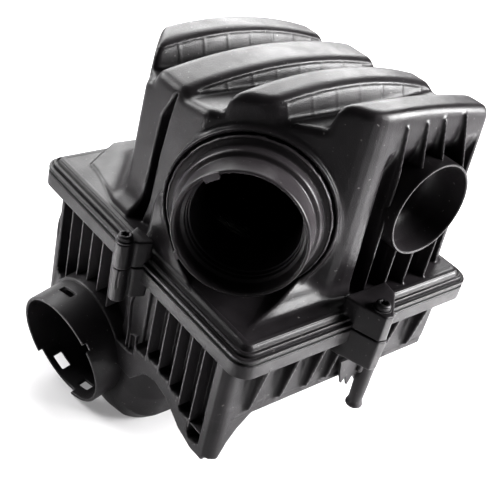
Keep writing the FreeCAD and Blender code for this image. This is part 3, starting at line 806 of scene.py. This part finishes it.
# ------------------------------------------------------------------ outlet, its seal, side duct
COLLAR = rounded([(36.4, -30, 1), (36.4, 12.5, 0.6), (37.4, 13, 0.4), (37.4, 16.6, 0.4),
                  (38.2, 17, 0.4), (38.4, 20, 0.4), (40.6, 21.4, 0.6), (41.8, 32.2, 0.6),
                  (42.6, 33, 0.5), (43.8, 33, 0.7), (44.4, 31.8, 0.6), (44.4, 13.5, 1.0),
                  (47.6, 12.6, 1.0), (48.4, 10.6, 0.8), (48.4, 5.2, 0.8), (50.0, 4.6, 0.8),
                  (52.9, 4.6, 0.7), (53.1, 3.2, 0.5), (53.1, -3.4, 0.6), (47, -3.6, 0.5),
                  (47, -9, 1), (44.4, -9, 0.5), (40.2, -30, 1)], 0.5)
vertices, faces = lathe(COLLAR, OUTLET, OUTLET_AXIS, 256)
make("outlet_collar", vertices, faces, "cover", OUTLET_PLASTIC, ("outlet_tube",))

vertices, faces = joined([
    sector(OUTLET, OUTLET_AXIS, (39.4, 43.9), (30.5, 33.9), (47, 61), 9),
    sector(OUTLET, OUTLET_AXIS, (43.4, 45.4), (29, 33.4), (-40, -33), 6)])
make("outlet_keys", vertices, faces, "cover", OUTLET_PLASTIC, crisp=30)

MOUTH = rounded([(32.8, 0.2, 0.5), (33.4, -0.6, 0.3), (34.6, -0.6, 0.4), (35.0, 0.6, 0.4),
                 (35.0, 24, 1), (30.5, 26.5, 2), (24.5, 32, 2), (22.5, 42, 0.6), (20.5, 42, 0.6),
                 (20.2, 36, 3), (22.4, 29, 4), (28.4, 23, 6), (31.6, 14.5, 5), (32.4, 6, 3)], 0.4)
vertices, faces = lathe(MOUTH, DUCT, DUCT_AXIS)
make("side_spout", vertices, faces, "cover", COVER_PLASTIC, ("side_duct",))


def ragged(i, turns):
    """The moulding flash round the seal: short uneven tears in its outer edge."""
    noise = np.random.default_rng(5 + i)
    wave = np.zeros_like(turns)
    for k in range(12, 90, 5):
        wave += noise.normal() * np.sin(k * turns + noise.uniform(0, 2 * math.pi)) / math.sqrt(k)
    return 0.35 * wave * (i > 2)


SEAL = [(52.6, -3.4), (54.2, -3.4), (54.4, -1.0), (54.0, 1.6), (54.3, 3.4), (53.6, 4.9),
        (52.8, 4.9), (52.6, 4.0)]
vertices, faces = lathe(SEAL, OUTLET, OUTLET_AXIS, 384, ragged)
make("outlet_flash", vertices, faces, "cover", OUTLET_PLASTIC, ("outlet_seal",))


# ------------------------------------------------------------------ peg, foot and toothed tab
PEG = (133, 5, 0)
stem = [(0.01, -48), (6.2, -48), (5.8, -70), (5.2, -88.5), (0.01, -88.5)]
vertices, faces = lathe(rounded([(r, z, 0.6) for r, z in stem], 0.5), PEG, UP, 48)
make("peg", vertices, faces, "case", CASE_PLASTIC, ("locating_peg",))
foot = [(4.6, -84), (5.3, -84), (5.7, -86.5), (6.6, -88.8), (6.5, -90.4), (4.6, -91.2), (0.01, -91.2),
        (0.01, -90)]
vertices, faces = lathe(rounded([(r, z, 0.5) for r, z in foot], 0.5), PEG, UP, 48)
make("peg_foot", vertices, faces, "case", OUTLET_PLASTIC, ("peg_buffer",))
TAB = [(104, -40), (107, -52), (111.4, -63), (114.5, -57.5), (118.8, -67.6), (122, -58.5),
       (126.5, -66), (127, -40)]
vertices = [(x, level, z) for level in (6.5, 8.6) for x, z in TAB]
count = len(TAB)
faces = [(i, (i + 1) % count, count + (i + 1) % count, count + i) for i in range(count)]
faces += [tuple(range(count))[::-1], tuple(range(count, 2 * count))]
make("toothed_tab", vertices, faces, "case", CASE_PLASTIC, ("support_tab",), crisp=30)


# ------------------------------------------------------------------ screws
def six_lobes(i, turns):
    """Presses the rings of the recess into a six-lobed star."""
    return 0.35 * np.cos(6 * turns) * (2 <= i <= 9)


SOCKET = [(0.01, 21.8), (0.6, 21.8), (1.9, 21.9), (2.2, 22.2), (2.25, 23.2), (2.3, 24.2),
          (2.35, 24.8), (2.5, 25.1), (2.7, 25.2), (2.8, 25.25), (3.6, 25.3), (4.3, 25.1),
          (4.9, 24.5), (5.2, 23.4), (5.3, 22.0), (5.4, 21.7), (6.2, 21.5), (6.4, 21.1),
          (6.4, 20.3), (6.2, 20.0), (3.0, 20.0)]
SHANK = [(2.6 if i % 2 else 3.0, 18.0 - i * 0.5) for i in range(62)]
SCREW = SOCKET + [(3.0, 18.5)] + SHANK + [(2.2, -13.4), (0.01, -13.4)]

for side, (x, y) in SCREWS.items():
    vertices, faces = lathe(SCREW, (x, y, 0), UP, 48, six_lobes)
    make("fastener_" + side, vertices, faces, side + "_fastener", BLACK_ZINC,
         ("screw_" + side,), crisp=40)


# ------------------------------------------------------------------ filter screen, small parts
WIRE_PITCH = 4.0
wires = []
for x in 18.5 + WIRE_PITCH * np.arange(46):
    wires.append(strip([(x, 17.2), (x, 232.8)], 0.5, "z", -2.3, -1.75, 0.12))
for y in 19 + WIRE_PITCH * np.arange(54):
    wires.append(strip([(17.2, y), (199.8, y)], 0.5, "z", -1.95, -1.4, 0.12))
for line in ([(17.6, 17), (17.6, 233)], [(199.4, 17), (199.4, 233)],
             [(17, 17.6), (200, 17.6)], [(17, 232.4), (200, 232.4)]):
    wires.append(strip(line, 1.2, "z", -2.4, -1.4, 0.2))
vertices, faces = joined(wires)
make("screen_mesh", vertices, faces, "filter", SCREEN, ("filter_screen",), crisp=30)

for node, material in (("screw_sleeves", STEEL), ("threaded_inserts", BRASS),
                       ("rim_gasket", RUBBER), ("filter_seal", FILTER_RUBBER),
                       ("filter_media", PAPER)):
    for slot in bpy.data.objects[node].material_slots:
        slot.material = material


# ------------------------------------------------------------------ camera, light and floor
VIEW_FROM = Vector((-328.83, -297.15, 384.39))
VIEW_TURN, VIEW_DIP, VIEW_ROLL = 44.010, 33.375, 13.897
lens = bpy.data.cameras.new("camera")
lens.sensor_width = 36
lens.lens = 69.57
lens.clip_end = 50
camera = bpy.data.objects.new("camera", lens)
bpy.context.scene.collection.objects.link(camera)
aimed = (Matrix.Rotation(math.radians(VIEW_TURN - 90), 4, "Z")
         @ Matrix.Rotation(math.radians(90 - VIEW_DIP), 4, "X")
         @ Matrix.Rotation(math.radians(VIEW_ROLL), 4, "Z"))
camera.matrix_world = Matrix.Translation(ORIGIN + VIEW_FROM * MM) @ aimed
bpy.context.scene.camera = camera

FLOOR_REACH = 7.0
floor_mesh = bpy.data.meshes.new("floor")
floor_mesh.from_pydata([(x * FLOOR_REACH, y * FLOOR_REACH, 0)
                        for x, y in ((-1, -1), (1, -1), (1, 1), (-1, 1))], [], [(0, 1, 2, 3)])
floor = bpy.data.objects.new("floor", floor_mesh)
bpy.context.scene.collection.objects.link(floor)
paint = bpy.data.materials.new("floor_paper")
paint.use_nodes = True
paper = paint.node_tree.nodes["Principled BSDF"]
paper.inputs["Base Color"].default_value = (0.42, 0.417, 0.42, 1)
paper.inputs["Roughness"].default_value = 0.9
paper.inputs["Emission Color"].default_value = (1, 0.99, 1, 1)
paper.inputs["Emission Strength"].default_value = 0.3
paper.inputs["Specular IOR Level"].default_value = 0.1
floor_mesh.materials.append(paint)


def lamp(name, place, aim, size, power, spread=180):
    """A rectangular soft light at a place, aimed at a point, in metres and watts."""
    data = bpy.data.lights.new(name, "AREA")
    data.shape = "RECTANGLE"
    data.size, data.size_y = size
    data.energy = power
    data.spread = math.radians(spread)
    lamp_object = bpy.data.objects.new(name, data)
    bpy.context.scene.collection.objects.link(lamp_object)
    lamp_object.location = place
    direction = Vector(aim) - Vector(place)
    lamp_object.rotation_euler = direction.to_track_quat("-Z", "Y").to_euler()


lamp("back_box", (0.75, 1.15, 1.05), (0, 0, 0.15), (1.7, 1.2), 82)
lamp("left_box", (-0.75, 1.45, 0.95), (0, 0, 0.15), (1.1, 1.0), 75)
lamp("key_box", (1.15, -1.05, 0.85), (0, 0, 0.15), (0.8, 0.8), 180)
lamp("low_box", (0.20, -0.50, 0.40), (0.20, -0.44, 0), (0.45, 0.3), 20, spread=60)
lamp("side_box", (-0.37, 0.10, 0.40), (-0.37, 0.10, 0), (0.22, 0.36), 11, spread=36)

world = bpy.data.worlds.new("studio")
bpy.context.scene.world = world
world.use_nodes = True
back = world.node_tree.nodes["Background"]
back.inputs["Color"].default_value = (1, 1, 1, 1)
back.inputs["Strength"].default_value = 0.07
bpy.context.scene.view_settings.view_transform = "Standard"
bpy.context.scene.view_settings.gamma = 0.84
